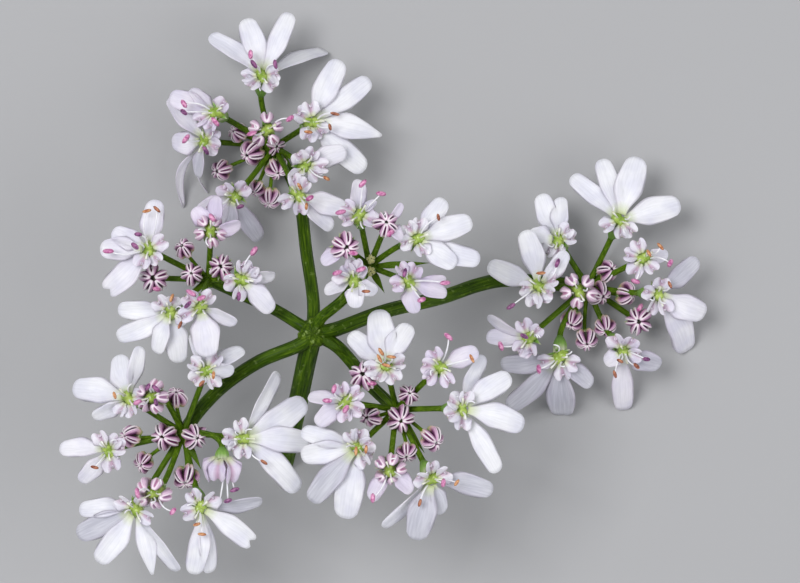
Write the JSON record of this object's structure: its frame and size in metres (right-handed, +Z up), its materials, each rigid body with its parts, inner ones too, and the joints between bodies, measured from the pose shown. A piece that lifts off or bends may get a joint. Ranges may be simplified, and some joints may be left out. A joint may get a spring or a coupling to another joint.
{
  "type": "coriander flower umbel",
  "caption": "Cut coriander flower umbel lying face up: green stalk and rays carry small umbels of white blooms with lilac buds.",
  "frame": {"origin": "middle of the footprint box, on the surface that the umbel rests on", "axes": "+Z up from the surface, towards the faces of the blooms; +X along the longest side, from the left small umbels to the right one; +Y towards the top small umbel"},
  "size_m": [0.0392, 0.034, 0.0153],
  "materials": {
    "stem": "satin",
    "stalks_and_buds": "satin",
    "petals": "matte",
    "young_petals": "matte"
  },
  "bodies": {
    "root": {"stem_and_rays": "stem", "top_stalks": "stalks_and_buds", "top_bloom_1": "petals", "top_bloom_2": "petals", "top_bloom_3": "petals", "top_bloom_4": "petals", "top_bloom_5": "petals", "top_bloom_6": "petals", "top_bloom_7": "petals", "top_bloom_8": "petals", "left_stalks": "stalks_and_buds", "left_bloom_1": "petals", "left_bloom_2": "petals", "left_bloom_3": "petals", "left_bloom_4": "petals", "left_bloom_5": "petals", "left_half_open_1": "young_petals", "left_half_open_2": "young_petals", "lower_left_stalks": "stalks_and_buds", "lower_left_bloom_1": "petals", "lower_left_bloom_2": "petals", "lower_left_bloom_3": "petals", "lower_left_bloom_4": "petals", "lower_left_bloom_5": "petals", "lower_left_bloom_6": "petals", "lower_left_bloom_7": "petals", "lower_left_bloom_8": "petals", "lower_left_half_open_1": "young_petals", "lower_middle_stalks": "stalks_and_buds", "lower_middle_bloom_1": "petals", "lower_middle_bloom_2": "petals", "lower_middle_bloom_3": "petals", "lower_middle_bloom_4": "petals", "lower_middle_bloom_5": "petals", "lower_middle_bloom_6": "petals", "lower_middle_bloom_7": "petals", "lower_middle_half_open_1": "young_petals", "right_stalks": "stalks_and_buds", "right_bloom_1": "petals", "right_bloom_2": "petals", "right_bloom_3": "petals", "right_bloom_4": "petals", "right_bloom_5": "petals", "right_bloom_6": "petals", "right_bloom_7": "petals", "right_bloom_8": "petals", "right_bloom_9": "petals", "right_half_open_1": "young_petals", "centre_stalks": "stalks_and_buds", "centre_bloom_1": "petals", "centre_bloom_2": "petals", "centre_bloom_3": "petals", "centre_bloom_4": "petals", "centre_half_open_1": "young_petals", "centre_half_open_2": "young_petals"}
  },
  "joints": []
}
